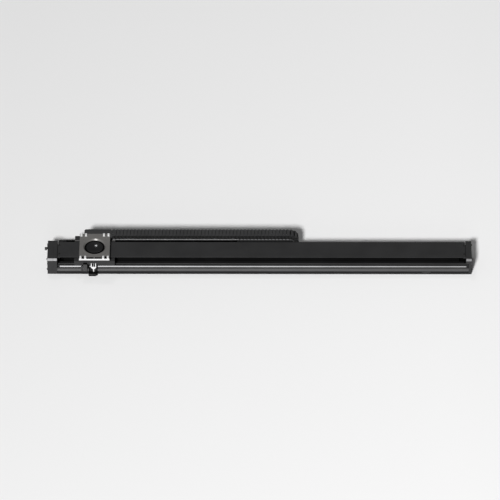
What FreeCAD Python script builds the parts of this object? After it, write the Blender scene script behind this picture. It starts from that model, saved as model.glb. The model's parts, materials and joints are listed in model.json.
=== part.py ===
"""Direct-drive linear motor axis: a covered body with an ironless linear motor inside, a carriage
that reaches round the cover, and a cable chain behind the body.

Millimetres. X runs along the axis, -Y is the front with the encoder, +Y carries the cable chain, Z is up.
The origin is the middle of the underside. The carriage is drawn at the left end of its stroke.
"""
import FreeCAD
import Part
import math
import os

# Lengths along the axis
end_plate_thickness = 15.0
bridge_thickness = 11.0
housing_length = 23.0
cap_length = 11.0
stroke = 1300.0
table_length = 158.0
home_gap = 67.0
far_gap = 69.0

# Body section
body_width = 116.0
body_height = 76.0
edge_chamfer = 7.0
floor_thickness = 16.0
wall_top = 37.5
channel_width = 76.0
side_setback = 4.0
setback_low = 17.0
setback_high = 24.0
slot_level = 9.5
slot_opening = 9.0
slot_lip = 3.0
slot_cavity_width = 13.0
slot_depth = 10.0
wall_chamber_width = 8.0
wall_chamber_height = 7.0
wall_chamber_level = 23.5
floor_chamber_width = 24.0
floor_chamber_height = 6.0
floor_chamber_level = 7.0
foot_hole_radius = 2.5
foot_hole_depth = 12.0
foot_hole_margin = 52.5
foot_hole_spacing_y = 84.0

# End blocks and cover
housing_wall = 3.0
cover_side_gap = 2.0
cover_thickness = 5.0
cover_edge = 1.0
cover_end_gap = 3.0
cover_seat_length = 12.0
cover_seat_height = 8.0
cover_seat_width = 70.0
cover_screw_spacing = 50.0
cap_screw_spacing_y = 84.0
cap_screw_spacing_z = 52.0
bridge_height = 21.0
bridge_web_gap = 0.5
connector_y = 25.0
connector_z = 52.0
connector_flange = 24.0
connector_flange_thickness = 2.5
connector_radius = 10.0
connector_length = 12.0
connector_bore_radius = 7.5
connector_insert_length = 5.0

# Guide
rail_width = 12.0
rail_height = 8.0
rail_waist = 1.0
rail_end_gap = 5.0
rail_seat_height = 6.0
block_inner_gap = 0.5
block_outer_gap = 1.0
block_length = 45.0
block_height = 10.0
block_lift = 3.0
block_spacing = 100.0
block_edge = 1.0
guide_clearance = 0.1

# Motor
yoke_end_gap = 25.0
yoke_wall = 3.5
yoke_floor = 4.0
yoke_height = 27.0
magnet_thickness = 3.0
magnet_top_margin = 1.0
magnet_pitch = 60.0
magnet_spacing = 1.0
magnet_lift = 2.0
air_gap = 1.0
coil_thickness = 4.0
coil_length = 126.0
coil_head_width = 16.0
coil_head_height = 6.0

# Encoder and switches
scale_end_gap = 10.0
head_gap = 0.8
head_offset = -36.0
head_width = 15.0
head_depth = 11.0
head_drop = 8.0
head_height = 35.0
head_reach = 9.0
ear_width = 10.0
ear_thickness = 5.0
ear_bottom = 20.0
ear_height = 24.0
ear_screw_spacing = 13.0
flag_offset = -6.0
flag_stem_width = 5.0
flag_prong_spacing = 16.5
flag_tine_width = 2.0
flag_taper_bottom = 26.0
flag_prong_width = 4.4
flag_screw_shank = 1.2
flag_screw_head = 2.0
flag_thickness = 1.5
flag_drop = 10.0
flag_fork_level = 36.0
flag_web = 4.0
flag_bottom = 12.0
holder_side_gap = 0.8
holder_arm = 6.2
holder_plate = 3.5
holder_block_depth = 14.0
holder_block_bottom = 5.0
holder_block_top = 20.0
switch_length = 34.0
switch_recess = 0.5

# Carriage
flange_clearance = 8.5
flange_depth = 12.0
flange_proud = 1.0
cover_clearance = 3.0
foot_height = 17.0
foot_inner_inset = 2.0
foot_outer_inset = 1.0
plate_lift = 9.0
plate_length = 118.0
plate_width = 144.0
plate_thickness = 8.0
bore_radius = 39.5
bore_chamfer = 4.75
dish_depth = 4.0
dish_floor_radius = 20.0
dish_proud = 2.0
key_width = 8.0
key_length = 14.0
key_height = 5.5
key_seat = 2.0
key_round = 1.6
key_inner_offset = 35.0
key_outer_offset = 53.0
key_setback = 0.5
tool_hole_radius = 2.1
tool_hole_spacing_x = 88.0
tool_hole_spacing_y = 80.0
pocket_lip = 1.0
pocket_width = 8.0
pocket_depth = 6.0
pocket_margin = 1.5
pocket_rib = 4.0

# Cable chain
chain_gap = 2.0
chain_width = 38.6
chain_top_drop = 0.0
link_height = 18.5
link_pitch = 15.4
link_plate = 2.4
link_nose = 5.0
link_nose_flat = 6.0
link_root = 2.0
link_tongue_height = 8.8
link_tongue_nose = 3.0
link_lid = 2.0
link_lid_gap = 0.8
bend_links = 5
spare_links = 2
lower_links = 13
moving_pin_gap = 11.0
moving_end_length = 105.0
moving_end_round = 8.0
moving_end_wall = 4.0
plate_clearance = 0.5
fixed_foot_length = 30.0
fixed_foot_thickness = 3.0
bracket_thickness = 4.0
bracket_margin = 1.4
bracket_notch_length = 32.0
bracket_notch_y = 87.0
bracket_chamfer = 2.0
tray_thickness = 2.0
tray_side_gap = 0.6
tray_lip = 9.0
tray_lip_overrun = 30.0
tray_end_gap = 1.0
tray_start_gap = 27.0
tray_tab_width = 40.0
tray_leg_bottom = 3.0
tray_nut_length = 20.0
tray_screw_count = 5
tray_screw_margin = 60.0

# Rubber stops
bumper_seat_gap = 1.0
bumper_yoke_gap = 3.0
bumper_length = 45.0

# Screws: shank and head radii, head heights
screw_sides = 6
small_shank = 2.0
small_head = 3.5
small_head_height = 2.0
large_shank = 2.5
large_head = 4.5
large_head_height = 3.0
thread_depth = 8.0
hole_clearance = 0.1

# Places that follow from the sizes above
inner_length = home_gap + table_length + stroke + far_gap
profile_length = inner_length + bridge_thickness
overall_length = housing_length + end_plate_thickness + profile_length + cap_length
left_end = -overall_length / 2
left_plate = left_end + housing_length
profile_start = left_plate + end_plate_thickness
profile_end = profile_start + profile_length
inner_end = profile_start + inner_length
right_end = profile_end + cap_length
inner_middle = (profile_start + inner_end) / 2
bridge_bottom = body_height - bridge_height
half_width = body_width / 2
half_channel = channel_width / 2
upper_side = half_width - side_setback
foot_hole_spacing_x = profile_length - 2 * foot_hole_margin
cover_bottom = body_height - cover_thickness
cover_seat_bottom = cover_bottom - cover_seat_height
flange_face = half_width + flange_proud
flange_inner = half_width - flange_depth
flange_bottom = wall_top + flange_clearance
cover_half_width = flange_inner - cover_side_gap
carriage_x = profile_start + home_gap + table_length / 2
rail_length = inner_length - 2 * rail_end_gap
rail_seat = floor_thickness + rail_seat_height
rail_top = rail_seat + rail_height
block_bottom = rail_seat + block_lift
block_top = block_bottom + block_height
table_top = cover_bottom - cover_clearance
table_web_bottom = block_top + foot_height
plate_bottom = body_height + plate_lift
plate_top = plate_bottom + plate_thickness
yoke_half_gap = coil_thickness / 2 + air_gap + magnet_thickness
yoke_half_width = yoke_half_gap + yoke_wall
yoke_top = floor_thickness + yoke_height
yoke_length = inner_length - 2 * yoke_end_gap
block_width = half_channel - yoke_half_width - block_inner_gap - block_outer_gap
rail_offset = yoke_half_width + block_inner_gap + block_width / 2
magnet_bottom = floor_thickness + yoke_floor + magnet_lift
magnet_top = yoke_top - magnet_top_margin
bumper_bottom = yoke_top + bumper_yoke_gap
bumper_radius = (cover_seat_bottom - bumper_seat_gap - bumper_bottom) / 2
bumper_level = bumper_bottom + bumper_radius
scale_low = wall_top - edge_chamfer
head_top = table_top - head_drop
flag_top = table_top - flag_drop
holder_width = flag_prong_spacing + flag_prong_width + 2 * (holder_side_gap + holder_arm)

bend_turn = math.pi / bend_links
pin_radius = link_pitch / (2 * math.sin(bend_turn / 2))
chain_top = plate_top - chain_top_drop
chain_near = half_width + chain_gap
chain_far = chain_near + chain_width
upper_pin_z = chain_top - link_height / 2
lower_pin_z = upper_pin_z - 2 * pin_radius
tray_top = lower_pin_z - link_height / 2
upper_links = math.ceil(stroke / 2 / link_pitch) + spare_links
moving_pin_x = carriage_x + plate_length / 2 + moving_pin_gap
bend_x = moving_pin_x + upper_links * link_pitch
fixed_pin_x = bend_x - lower_links * link_pitch
fixed_end_x = fixed_pin_x - link_pitch / 2
tray_start = profile_start + tray_start_gap
tray_end = inner_end - tray_end_gap


def box(x0, x1, y0, y1, z0, z1):
    """A block between two corners."""
    return Part.makeBox(x1 - x0, y1 - y0, z1 - z0, FreeCAD.Vector(x0, y0, z0))


def rod(radius, length, start, along):
    """A cylinder from its start point along a direction."""
    return Part.makeCylinder(radius, length, FreeCAD.Vector(*start), FreeCAD.Vector(*along))


def prism(points, push):
    """A closed outline pushed along a vector."""
    vectors = [FreeCAD.Vector(point) for point in points]
    face = Part.Face(Part.makePolygon(vectors + vectors[:1]))
    return face.extrude(FreeCAD.Vector(push))


def along_x(outline, x0, x1):
    """An outline of (y, z) points pushed along X."""
    return prism([(x0, y, z) for y, z in outline], (x1 - x0, 0, 0))


def mirrored(half_outline):
    """A front half outline of (y, z) points, closed with its mirror image about the middle plane."""
    return half_outline + [(-y, z) for y, z in reversed(half_outline)]


def evenly(first, last, count):
    """Places from first to last at equal steps."""
    return [first + (last - first) * index / (count - 1) for index in range(count)]


def flat_sided(radius, length, start, along):
    """A bar with a few flat sides, for screws and their holes."""
    axis = FreeCAD.Vector(*along)
    side = FreeCAD.Vector(along[1], along[2], along[0])
    other = axis.cross(side)
    points = []
    for index in range(screw_sides):
        angle = 2 * math.pi * (index + 0.5) / screw_sides
        across = side * (radius * math.cos(angle)) + other * (radius * math.sin(angle))
        points.append(FreeCAD.Vector(*start) + across)
    return prism(points, axis * length)


def screw(seat, along, shank, head, head_height, length):
    """A screw: its head stands on the seat, its shank runs along the direction."""
    back = [-value * head_height for value in along]
    start = [seat[axis] + back[axis] for axis in range(3)]
    head_bar = flat_sided(head, head_height, start, along)
    return head_bar.fuse(flat_sided(shank, length, seat, along)).removeSplitter()


def end_block(x0, x1):
    """A block of the end outline, with both upper edges chamfered."""
    outline = [
        (-half_width, 0),
        (-half_width, body_height - edge_chamfer),
        (-half_width + edge_chamfer, body_height),
    ]
    return along_x(mirrored(outline), x0, x1)


def cap_screw_places():
    """Middles of the four screws of an end cap, as (y, z)."""
    middle = body_height / 2
    return [
        (side * cap_screw_spacing_y / 2, middle + level * cap_screw_spacing_z / 2)
        for side in (-1, 1)
        for level in (-1, 1)
    ]


def side_slot(side):
    """The T-shaped slot in one side of the body."""
    lip = box(0, profile_length, 0, slot_lip, -slot_opening / 2, slot_opening / 2)
    cavity = box(0, profile_length, slot_lip, slot_depth, -slot_cavity_width / 2, slot_cavity_width / 2)
    slot = lip.fuse(cavity)
    if side > 0:
        slot = slot.mirror(FreeCAD.Vector(0, 0, 0), FreeCAD.Vector(0, 1, 0))
    slot.translate(FreeCAD.Vector(profile_start, side * half_width, slot_level))
    return slot


def base_profile():
    """U-shaped extrusion with slots, chambers, rail seats, a seat for the scale and threaded holes."""
    seat_outer = rail_offset + rail_width
    seat_inner = rail_offset - rail_width
    side = [
        (-half_width, 0),
        (-half_width, setback_low),
        (-upper_side, setback_high),
        (-upper_side, scale_low),
    ]
    scale_seat = [(-upper_side + edge_chamfer, scale_low)]
    inside = [
        (-upper_side + edge_chamfer, wall_top),
        (-half_channel, wall_top),
        (-half_channel, floor_thickness),
        (-seat_outer, floor_thickness),
        (-seat_outer, rail_seat),
        (-seat_inner, rail_seat),
        (-seat_inner, floor_thickness),
    ]
    rear = [(-y, z) for y, z in reversed(side + inside)]
    profile = along_x(side + scale_seat + inside + rear, profile_start, profile_end)
    wall_middle = (half_channel + upper_side) / 2
    cuts = []
    for side in (-1, 1):
        cuts.append(side_slot(side))
        cuts.append(box(
            profile_start, profile_end,
            side * wall_middle - wall_chamber_width / 2, side * wall_middle + wall_chamber_width / 2,
            wall_chamber_level - wall_chamber_height / 2, wall_chamber_level + wall_chamber_height / 2,
        ))
        cuts.append(box(
            profile_start, profile_end,
            side * rail_offset - floor_chamber_width / 2, side * rail_offset + floor_chamber_width / 2,
            floor_chamber_level - floor_chamber_height / 2, floor_chamber_level + floor_chamber_height / 2,
        ))
        for end in (-1, 1):
            place = (end * foot_hole_spacing_x / 2, side * foot_hole_spacing_y / 2, 0)
            cuts.append(rod(foot_hole_radius, foot_hole_depth, place, (0, 0, 1)))
    for y, z in cap_screw_places():
        if z < wall_top:
            place = (profile_end, y, z)
            cuts.append(flat_sided(large_shank + hole_clearance, thread_depth, place, (-1, 0, 0)))
    return profile.cut(cuts)


def bridge_block():
    """Block of the right end plate: it spans the body's end and its web stands on the rail seats."""
    outline = [
        (-half_width, bridge_bottom),
        (-half_width, body_height - edge_chamfer),
        (-half_width + edge_chamfer, body_height),
    ]
    reach = half_channel - bridge_web_gap
    web = box(inner_end, profile_end, -reach, reach, rail_seat, bridge_bottom)
    return along_x(mirrored(outline), inner_end, profile_end).fuse(web)


def end_plate(plate, outer, inner):
    """End plate with a shoulder that carries the cover, and threads for cap and cover screws."""
    inward = 1 if inner > outer else -1
    seat_end = inner + inward * cover_seat_length
    plate = plate.fuse(box(
        min(inner, seat_end), max(inner, seat_end),
        -cover_seat_width / 2, cover_seat_width / 2,
        cover_seat_bottom, cover_bottom,
    ))
    cuts = []
    for y, z in cap_screw_places():
        cuts.append(flat_sided(large_shank + hole_clearance, thread_depth, (outer, y, z), (inward, 0, 0)))
    for side in (-1, 1):
        place = (cover_screw_x(inner, inward), side * cover_screw_spacing / 2, cover_bottom)
        cuts.append(flat_sided(small_shank + hole_clearance, cover_seat_height, place, (0, 0, -1)))
    return plate.cut(cuts).removeSplitter()


def cover_screw_x(inner, inward):
    """Where the cover's screws stand, midway along what lies on the shoulder."""
    return inner + inward * (cover_end_gap + cover_seat_length) / 2


def cap_holes(x0, x1):
    """Through holes for the screws of an end cap."""
    return [
        flat_sided(large_shank + hole_clearance, x1 - x0, (x0, y, z), (1, 0, 0))
        for y, z in cap_screw_places()
    ]


def hollow_cap(x0, x1):
    """Hollow outer half of an end block, open towards its end plate, with screw bosses in its corners."""
    hollow = box(
        x0 + housing_wall, x1,
        -half_width + housing_wall, half_width - housing_wall,
        housing_wall, body_height - edge_chamfer - housing_wall,
    )
    boss_half = 2 * large_head
    for y, z in cap_screw_places():
        outer_y = math.copysign(half_width, y)
        inner_y = y - math.copysign(boss_half, y)
        below = z < body_height / 2
        hollow = hollow.cut(box(
            x0, x1, min(outer_y, inner_y), max(outer_y, inner_y),
            0 if below else z - boss_half, z + boss_half if below else body_height,
        ))
    return end_block(x0, x1).cut([hollow] + cap_holes(x0, x1))


def cap_screws(outer, open_end, cap_depth):
    """The four screws that hold an end cap."""
    return Part.makeCompound([
        screw((outer, y, z), (open_end, 0, 0), large_shank, large_head, large_head_height,
              cap_depth + thread_depth)
        for y, z in cap_screw_places()
    ])


def connection_housing():
    """Left end cap with the hole for the round connector."""
    hole = rod(connector_bore_radius, housing_wall, (left_end, connector_y, connector_z), (1, 0, 0))
    return hollow_cap(left_end, left_plate).cut(hole)


def connector_body():
    """Square flange and round shell of the connector, bored right through."""
    half = connector_flange / 2
    flange = box(
        left_end - connector_flange_thickness, left_end,
        connector_y - half, connector_y + half, connector_z - half, connector_z + half,
    )
    shell = rod(connector_radius, connector_length, (left_end, connector_y, connector_z), (-1, 0, 0))
    bore = rod(connector_bore_radius, connector_length, (left_end, connector_y, connector_z), (-1, 0, 0))
    return flange.fuse(shell).cut(bore).removeSplitter()


def connector_insert():
    """Pin carrier at the bottom of the connector's bore."""
    place = (left_end, connector_y, connector_z)
    return rod(connector_bore_radius - hole_clearance, connector_insert_length, place, (-1, 0, 0))


def cover_ends():
    """Both ends of the cover, clear of the end plates."""
    return profile_start + cover_end_gap, inner_end - cover_end_gap


def cover_screw_places():
    """Middles of the cover's screws, as (x, y)."""
    columns = (cover_screw_x(profile_start, 1), cover_screw_x(inner_end, -1))
    return [(x, side * cover_screw_spacing / 2) for x in columns for side in (-1, 1)]


def top_cover():
    """Cover plate with its long upper edges broken."""
    outline = [
        (-cover_half_width, cover_bottom),
        (-cover_half_width, body_height - cover_edge),
        (-cover_half_width + cover_edge, body_height),
    ]
    holes = [
        flat_sided(small_shank + hole_clearance, cover_thickness, (x, y, cover_bottom), (0, 0, 1))
        for x, y in cover_screw_places()
    ]
    return along_x(mirrored(outline), *cover_ends()).cut(holes)


def cover_screws():
    """Low screws that hold the cover on the shoulders."""
    return Part.makeCompound([
        screw((x, y, body_height), (0, 0, -1), small_shank, small_head, small_head_height,
              cover_thickness + cover_seat_height)
        for x, y in cover_screw_places()
    ])


def rail(side):
    """Guide rail with a waist on both sides for the rolling balls."""
    half = rail_width / 2
    outline = [
        (-half, 0),
        (-half, rail_height / 4),
        (-half + rail_waist, rail_height / 2),
        (-half, rail_height * 3 / 4),
        (-half, rail_height),
    ]
    reach = rail_length / 2
    body = along_x(mirrored(outline), inner_middle - reach, inner_middle + reach)
    body.translate(FreeCAD.Vector(0, side * rail_offset, rail_seat))
    return body


def magnet_yoke():
    """U-shaped steel yoke that stands on the floor of the body."""
    outline = [
        (-yoke_half_width, floor_thickness),
        (-yoke_half_width, yoke_top),
        (-yoke_half_gap, yoke_top),
        (-yoke_half_gap, floor_thickness + yoke_floor),
    ]
    reach = yoke_length / 2
    return along_x(mirrored(outline), inner_middle - reach, inner_middle + reach)


def magnet_row(side):
    """Row of magnets on one wall of the yoke."""
    count = int(yoke_length // magnet_pitch)
    first = inner_middle - count * magnet_pitch / 2
    outer = side * yoke_half_gap
    inner = side * (yoke_half_gap - magnet_thickness)
    return Part.makeCompound([
        box(
            first + index * magnet_pitch + magnet_spacing / 2,
            first + (index + 1) * magnet_pitch - magnet_spacing / 2,
            min(inner, outer), max(inner, outer), magnet_bottom, magnet_top,
        )
        for index in range(count)
    ])


def encoder_scale():
    """Scale bar in the front wall's upper corner: its slanted face is the one that is read."""
    outline = [
        (-upper_side, scale_low),
        (-upper_side + edge_chamfer, scale_low),
        (-upper_side + edge_chamfer, wall_top),
    ]
    return along_x(outline, profile_start + scale_end_gap, profile_end - scale_end_gap)


def bumper(x, inward):
    """Rubber stop on the inner face of an end plate, in line with the table."""
    return rod(bumper_radius, bumper_length, (x, 0, bumper_level), (inward, 0, 0))


def limit_switches():
    """Flat switches in the front slot, one under each end of the flag's travel."""
    half = slot_opening / 2 - hole_clearance
    places = (carriage_x + flag_offset, carriage_x + flag_offset + stroke)
    return Part.makeCompound([
        box(
            x - switch_length / 2, x + switch_length / 2,
            -half_width + switch_recess, -half_width + slot_depth,
            slot_level - half, slot_level + half,
        )
        for x in places
    ])


def tray_screw_places():
    """Places of the tray's screws along X."""
    return evenly(tray_start + tray_screw_margin, tray_end - tray_screw_margin, tray_screw_count)


def chain_tray():
    """Bent sheet behind the body: tabs on the rear slot, a shelf for the chain and a lip beside it."""
    leg_outer = half_width + tray_thickness
    edge = chain_far + tray_side_gap + tray_thickness
    shelf_bottom = tray_top - tray_thickness
    shelf = box(tray_start, tray_end, half_width, edge, shelf_bottom, tray_top)
    lip_end = bend_x + tray_lip_overrun
    pieces = [box(tray_start, lip_end, edge - tray_thickness, edge, shelf_bottom, tray_top + tray_lip)]
    holes = []
    for x in tray_screw_places():
        pieces.append(box(
            x - tray_tab_width / 2, x + tray_tab_width / 2, half_width, leg_outer,
            tray_leg_bottom, shelf_bottom,
        ))
        place = (x, half_width, slot_level)
        holes.append(flat_sided(large_shank + hole_clearance, tray_thickness, place, (0, 1, 0)))
    return shelf.fuse(pieces).removeSplitter().cut(holes)


def tray_screws():
    """Screws through the tray's leg into the nuts in the rear slot."""
    return Part.makeCompound([
        screw((x, half_width + tray_thickness, slot_level), (0, -1, 0), large_shank, large_head,
              large_head_height, tray_thickness + slot_depth - hole_clearance)
        for x in tray_screw_places()
    ])


def tray_nuts():
    """Slot nuts behind the lips of the rear slot."""
    nuts = []
    for x in tray_screw_places():
        nut = box(
            x - tray_nut_length / 2, x + tray_nut_length / 2,
            half_width - slot_depth + hole_clearance, half_width - slot_lip,
            slot_level - slot_cavity_width / 2 + hole_clearance,
            slot_level + slot_cavity_width / 2 - hole_clearance,
        )
        place = (x, half_width, slot_level)
        thread = flat_sided(large_shank + hole_clearance, slot_depth, place, (0, -1, 0))
        nuts.append(nut.cut(thread))
    return Part.makeCompound(nuts)


def carriage_table():
    """Table under the cover: flanges that come out of both slots, and feet on the guide blocks."""
    foot_inner = rail_offset - block_width / 2 + foot_inner_inset
    foot_outer = rail_offset + block_width / 2 - foot_outer_inset
    outline = [
        (-flange_face, table_top),
        (-flange_face, flange_bottom),
        (-flange_inner, flange_bottom),
        (-flange_inner, table_web_bottom),
        (-foot_outer, table_web_bottom),
        (-foot_outer, block_top),
        (-foot_inner, block_top),
        (-foot_inner, table_web_bottom),
    ]
    table = along_x(mirrored(outline), carriage_x - table_length / 2, carriage_x + table_length / 2)
    holes = []
    for x, y in leg_screw_places():
        bottom = (x, y, flange_bottom)
        holes.append(flat_sided(large_shank + hole_clearance, table_top - flange_bottom, bottom, (0, 0, 1)))
        holes.append(flat_sided(large_head + hole_clearance, large_head_height, bottom, (0, 0, 1)))
    for x, z in flag_screw_places():
        place = (x, -flange_face, z)
        holes.append(flat_sided(flag_screw_shank + hole_clearance, thread_depth, place, (0, 1, 0)))
    return table.cut(holes)


def leg_screw_places():
    """Middles of the screws that clamp the legs, as (x, y)."""
    y = (flange_face + flange_inner) / 2
    reach = (plate_length - flange_depth) / 2
    return [(carriage_x + end * reach, side * y) for end in (-1, 1) for side in (-1, 1)]


def leg(side):
    """Bar from a flange up to the plate, outside the edge of the cover."""
    outer = side * flange_face
    inner = side * flange_inner
    bar = box(
        carriage_x - plate_length / 2, carriage_x + plate_length / 2,
        min(inner, outer), max(inner, outer), table_top, plate_bottom,
    )
    holes = [
        flat_sided(large_shank + hole_clearance, plate_bottom - table_top, (x, y, table_top), (0, 0, 1))
        for x, y in leg_screw_places()
        if y * side > 0
    ]
    return bar.cut(holes)


def leg_screws():
    """Long screws from under the flanges through the legs into the plate."""
    seat_z = flange_bottom + large_head_height
    length = plate_bottom - seat_z + plate_thickness / 2
    return Part.makeCompound([
        screw((x, y, seat_z), (0, 0, 1), large_shank, large_head, large_head_height, length)
        for x, y in leg_screw_places()
    ])


def key_places():
    """Left front corners of the locating keys, as (x, y)."""
    rows = (-plate_width / 2 + key_setback, plate_width / 2 - key_setback - key_length)
    offsets = (-key_outer_offset, -key_inner_offset, key_inner_offset, key_outer_offset)
    return [(carriage_x + offset - key_width / 2, y) for y in rows for offset in offsets]


def pocket_spans():
    """Pockets behind the plate's front edge, between the keys, as (x0, x1, width)."""
    inner = key_inner_offset - key_width / 2 - pocket_margin
    pair_start = key_inner_offset + key_width / 2 + pocket_margin
    pair_end = key_outer_offset - key_width / 2 - pocket_margin
    spans = []
    for side in (-1, 1):
        middle = sorted((carriage_x + side * pocket_rib / 2, carriage_x + side * inner))
        pair = sorted((carriage_x + side * pair_start, carriage_x + side * pair_end))
        spans.append((*middle, pocket_width))
        spans.append((*pair, key_length))
    return spans


def top_plate():
    """Tool plate with a chamfered bore, seats for the keys, pockets at its front and threaded holes."""
    plate = box(
        carriage_x - plate_length / 2, carriage_x + plate_length / 2,
        -plate_width / 2, plate_width / 2, plate_bottom, plate_top,
    )
    centre = FreeCAD.Vector(carriage_x, 0, plate_top - bore_chamfer)
    up = FreeCAD.Vector(0, 0, 1)
    cuts = [
        rod(bore_radius, plate_thickness, (carriage_x, 0, plate_bottom), (0, 0, 1)),
        Part.makeCone(bore_radius, bore_radius + bore_chamfer, bore_chamfer, centre, up),
    ]
    for x, y in key_places():
        cuts.append(box(x, x + key_width, y, y + key_length, plate_top - key_seat, plate_top))
    for x0, x1, width in pocket_spans():
        front = -plate_width / 2 + pocket_lip
        cuts.append(box(x0, x1, front, front + width, plate_top - pocket_depth, plate_top))
    for x, y in leg_screw_places():
        place = (x, y, plate_bottom)
        cuts.append(flat_sided(large_shank + hole_clearance, plate_thickness / 2, place, (0, 0, 1)))
    for end in (-1, 1):
        for side in (-1, 1):
            x = carriage_x + end * tool_hole_spacing_x / 2
            y = side * tool_hole_spacing_y / 2
            cuts.append(rod(tool_hole_radius, plate_thickness, (x, y, plate_bottom), (0, 0, 1)))
    return plate.cut(cuts)


def locating_keys():
    """Bars that stand proud of the plate in pairs at its corners, their long edges bevelled."""
    keys = []
    for x, y in key_places():
        bottom = plate_top - key_seat
        top = bottom + key_height
        outline = [
            (x, y, bottom),
            (x + key_width, y, bottom),
            (x + key_width, y, top - key_round),
            (x + key_width - key_round, y, top),
            (x + key_round, y, top),
            (x, y, top - key_round),
        ]
        keys.append(prism(outline, (0, key_length, 0)))
    return Part.makeCompound(keys)


def bore_dish():
    """Dished cap pressed into the bore, turned from an outline."""
    outer = bore_radius - hole_clearance
    rim_z = plate_top - bore_chamfer
    bottom_z = plate_bottom - dish_proud
    floor_z = rim_z - dish_depth
    outline = [
        (0, floor_z),
        (dish_floor_radius, floor_z),
        (outer, rim_z),
        (outer, bottom_z),
        (0, bottom_z),
    ]
    points = [FreeCAD.Vector(carriage_x + radius, 0, z) for radius, z in outline]
    face = Part.Face(Part.makePolygon(points + points[:1]))
    return face.revolve(FreeCAD.Vector(carriage_x, 0, 0), FreeCAD.Vector(0, 0, 1), 360)


def guide_block(end, side):
    """Guide block that runs astride a rail, its long upper edges broken."""
    half = block_width / 2
    channel = rail_width / 2 + guide_clearance
    outline = [
        (-half, block_bottom),
        (-half, block_top - block_edge),
        (-half + block_edge, block_top),
    ]
    middle = carriage_x + end * block_spacing / 2
    block = along_x(mirrored(outline), middle - block_length / 2, middle + block_length / 2)
    block = block.cut(box(
        middle - block_length / 2, middle + block_length / 2,
        -channel, channel, block_bottom, rail_top + guide_clearance,
    ))
    block.translate(FreeCAD.Vector(0, side * rail_offset, 0))
    return block


def coil_unit():
    """Potted coil blade that hangs between the magnets, with its mounting head under the table."""
    x0 = carriage_x - coil_length / 2
    x1 = carriage_x + coil_length / 2
    head_bottom_z = table_web_bottom - coil_head_height
    head = box(x0, x1, -coil_head_width / 2, coil_head_width / 2, head_bottom_z, table_web_bottom)
    blade = box(x0, x1, -coil_thickness / 2, coil_thickness / 2, magnet_bottom, head_bottom_z)
    return head.fuse(blade)


def read_head():
    """Encoder head: a box on the front flange, a nose along the scale's face and an ear with two screws."""
    x0, x1 = head_ends()
    head_bottom = head_top - head_height
    body = box(x0, x1, -flange_face - head_depth, -flange_face, head_bottom, head_top)
    nose_y = -flange_face + head_reach
    rise = upper_side + scale_low + head_gap * math.sqrt(2)
    nose = along_x([
        (-flange_face, rise - flange_face),
        (nose_y, rise + nose_y),
        (nose_y, flange_bottom),
        (-flange_face, flange_bottom),
    ], x0, x1)
    ear = box(
        x0 - ear_width, x0, -flange_face - ear_thickness, -flange_face, ear_bottom, ear_bottom + ear_height,
    )
    holes = [
        flat_sided(flag_screw_shank + hole_clearance, ear_thickness, (x, -flange_face, z), (0, -1, 0))
        for x, z in head_screw_places()
    ]
    return body.fuse([nose, ear]).removeSplitter().cut(holes)


def head_ends():
    """Both ends of the head's box along X."""
    middle = carriage_x + head_offset
    return middle - head_width / 2, middle + head_width / 2


def head_screw_places():
    """Middles of the screws in the head's ear, as (x, z)."""
    x = head_ends()[0] - ear_width / 2
    middle = ear_bottom + ear_height / 2
    return [(x, middle + level * ear_screw_spacing / 2) for level in (-1, 1)]


def head_screws():
    """Screws in the ear of the encoder head."""
    return Part.makeCompound([
        screw((x, -flange_face - ear_thickness, z), (0, 1, 0), flag_screw_shank, flag_screw_head,
              small_head_height, ear_thickness - hole_clearance)
        for x, z in head_screw_places()
    ])


def flag_screw_places():
    """Middles of the screws through the flag's prongs, as (x, z)."""
    z = (flag_top + flange_bottom) / 2
    return [(carriage_x + flag_offset + side * flag_prong_spacing / 2, z) for side in (-1, 1)]


def switch_flag():
    """Sheet fork: two prongs on the flange, a tine between them and a stem that passes the switches."""
    x = carriage_x + flag_offset
    back = -flange_face
    outer = (flag_prong_spacing + flag_prong_width) / 2
    inner = (flag_prong_spacing - flag_prong_width) / 2
    valley = flag_fork_level + flag_web
    half = [
        (-flag_stem_width / 2, flag_bottom),
        (-flag_stem_width / 2, flag_taper_bottom),
        (-outer, flag_fork_level),
        (-outer, flag_top),
        (-inner, flag_top),
        (-inner, valley),
        (-flag_tine_width / 2, valley),
        (-flag_tine_width / 2, flag_top),
    ]
    outline = [(x + across, back, z) for across, z in mirrored(half)]
    flag = prism(outline, (0, -flag_thickness, 0))
    holes = [
        flat_sided(flag_screw_shank + hole_clearance, flag_thickness, (hole_x, back, z), (0, -1, 0))
        for hole_x, z in flag_screw_places()
    ]
    return flag.cut(holes)


def flag_screws():
    """Screws that hold the flag on the flange."""
    return Part.makeCompound([
        screw((x, -flange_face - flag_thickness, z), (0, 1, 0), flag_screw_shank, flag_screw_head,
              small_head_height, flag_thickness + thread_depth)
        for x, z in flag_screw_places()
    ])


def flag_holder():
    """Guard round the flag: two arms on the flange and a block below."""
    x0 = carriage_x + flag_offset - holder_width / 2
    x1 = x0 + holder_width
    back = -flange_face
    front = back - holder_plate
    left_arm = box(x0, x0 + holder_arm, front, back, holder_block_bottom, table_web_bottom)
    right_arm = box(x1 - holder_arm, x1, front, back, holder_block_bottom, table_web_bottom)
    block = box(
        x0, x1, front - holder_block_depth, front, holder_block_bottom, holder_block_top,
    )
    return block.fuse([left_arm, right_arm]).removeSplitter()


def link_outer(direction):
    """Outer plate of one side with a pointed nose, as half of a fork about the link's first pin."""
    nose = [
        (-link_nose, -link_nose_flat / 2),
        (0, -link_height / 2),
        (link_pitch / 2, -link_height / 2),
        (link_pitch / 2, link_height / 2),
        (0, link_height / 2),
        (-link_nose, link_nose_flat / 2),
    ]
    y0 = direction * (chain_width / 2 - link_plate)
    return prism([(x, y0, z) for x, z in nose], (0, direction * link_plate, 0))


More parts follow.
